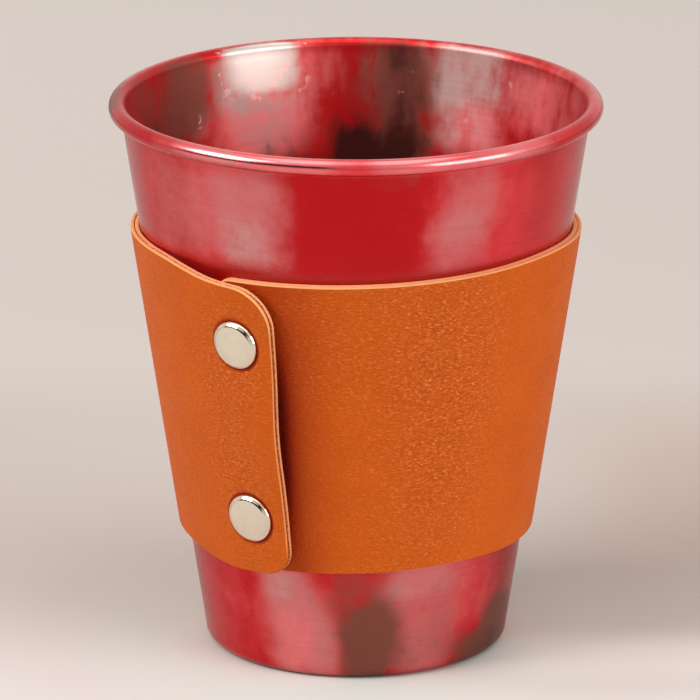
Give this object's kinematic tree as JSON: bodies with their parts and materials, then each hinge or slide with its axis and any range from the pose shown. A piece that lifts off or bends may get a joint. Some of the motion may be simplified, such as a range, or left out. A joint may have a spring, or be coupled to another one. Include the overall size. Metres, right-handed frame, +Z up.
{
  "type": "tumbler cup with a snap-closed leather sleeve",
  "caption": "Tapered spun-metal tumbler with a rolled rim, in a removable two-ply leather wrap sleeve whose overlapping flap closes with ring-spring snaps.",
  "frame": {"origin": "on the table, under the middle of the cup's base", "axes": "+Z up along the cup's axis, -Y towards the viewer of the picture, +X to the viewer's right"},
  "size_m": [0.1, 0.1, 0.114],
  "materials": {
    "cup_metal": "flame-coloured copper, satin, red with brown oxide",
    "leather_face": "fine pebbled grain, satin",
    "leather_lining": "smooth, matt",
    "snap_nickel": "polished nickel plate on brass",
    "spring_wire": "bright wire"
  },
  "bodies": {
    "sleeve": {"band_lining": "leather_lining", "band_face": "leather_face", "upper_stud": "snap_nickel", "upper_post": "snap_nickel", "lower_stud": "snap_nickel", "lower_post": "snap_nickel"},
    "cup": {"cup": "cup_metal"},
    "flap": {"flap_lining": "leather_lining", "flap_face": "leather_face", "upper_cap": "snap_nickel", "upper_socket": "snap_nickel", "upper_spring": "spring_wire", "lower_cap": "snap_nickel", "lower_socket": "snap_nickel", "lower_spring": "spring_wire"}
  },
  "joints": [
    {"name": "cup_lift", "type": "slide", "parent": "sleeve", "child": "cup", "axis": [0, 0, 1], "range_m": [0, 0.095]},
    {"name": "flap_open", "type": "hinge", "parent": "sleeve", "child": "flap", "pos_m": [-0.03613, -0.02323, 0.05435], "axis": [0.1327, 0.0729, -0.9885], "range_deg": [0, 75], "deforming": ["upper_spring", "lower_spring"]}
  ]
}
